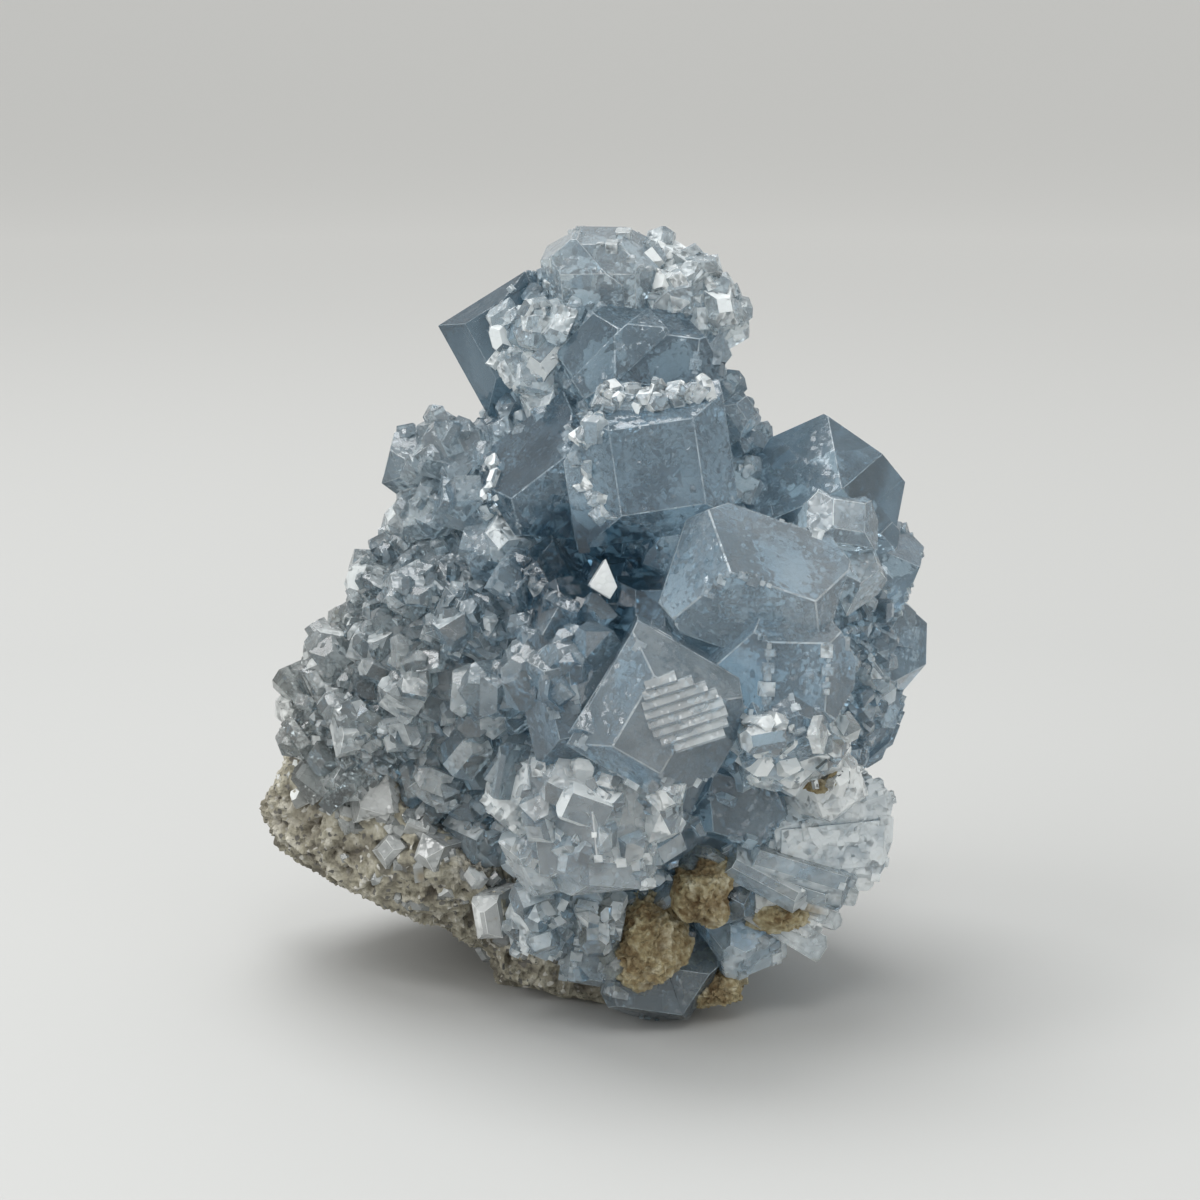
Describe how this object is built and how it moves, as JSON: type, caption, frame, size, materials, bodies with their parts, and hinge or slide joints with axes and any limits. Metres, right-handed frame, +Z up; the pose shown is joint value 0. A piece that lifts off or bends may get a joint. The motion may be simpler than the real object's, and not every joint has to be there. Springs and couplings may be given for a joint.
{
  "type": "celestite geode",
  "caption": "Free-standing celestite specimen: a steep cluster of pale blue blocky crystals on a wedge of sandy host rock, resting on a small flat spot.",
  "frame": {"origin": "on the flat spot under the rock that the specimen rests on, below the crown", "axes": "+Z up, +Y away from the front of the cluster, +X to the right seen from the front"},
  "size_m": [0.0612, 0.0545, 0.0685],
  "materials": {
    "celestite": "translucent pale blue crystal, glassy faces with frosted edges",
    "grey_celestite": "translucent grey crystal",
    "host_rock": "rough, grainy, pitted sandy limestone",
    "ochre_marl": "soft sandy marl"
  },
  "bodies": {
    "root": {"crystal_cluster": "celestite", "matrix_rock": "host_rock", "ochre_marl_foot": "ochre_marl", "ochre_marl_middle": "ochre_marl", "ochre_marl_right": "ochre_marl", "ochre_marl_low": "ochre_marl", "ochre_marl_upper": "ochre_marl", "pocket_crystal_1": "grey_celestite", "pocket_crystal_2": "grey_celestite", "pocket_crystal_3": "grey_celestite", "pocket_crystal_4": "grey_celestite"}
  },
  "joints": []
}
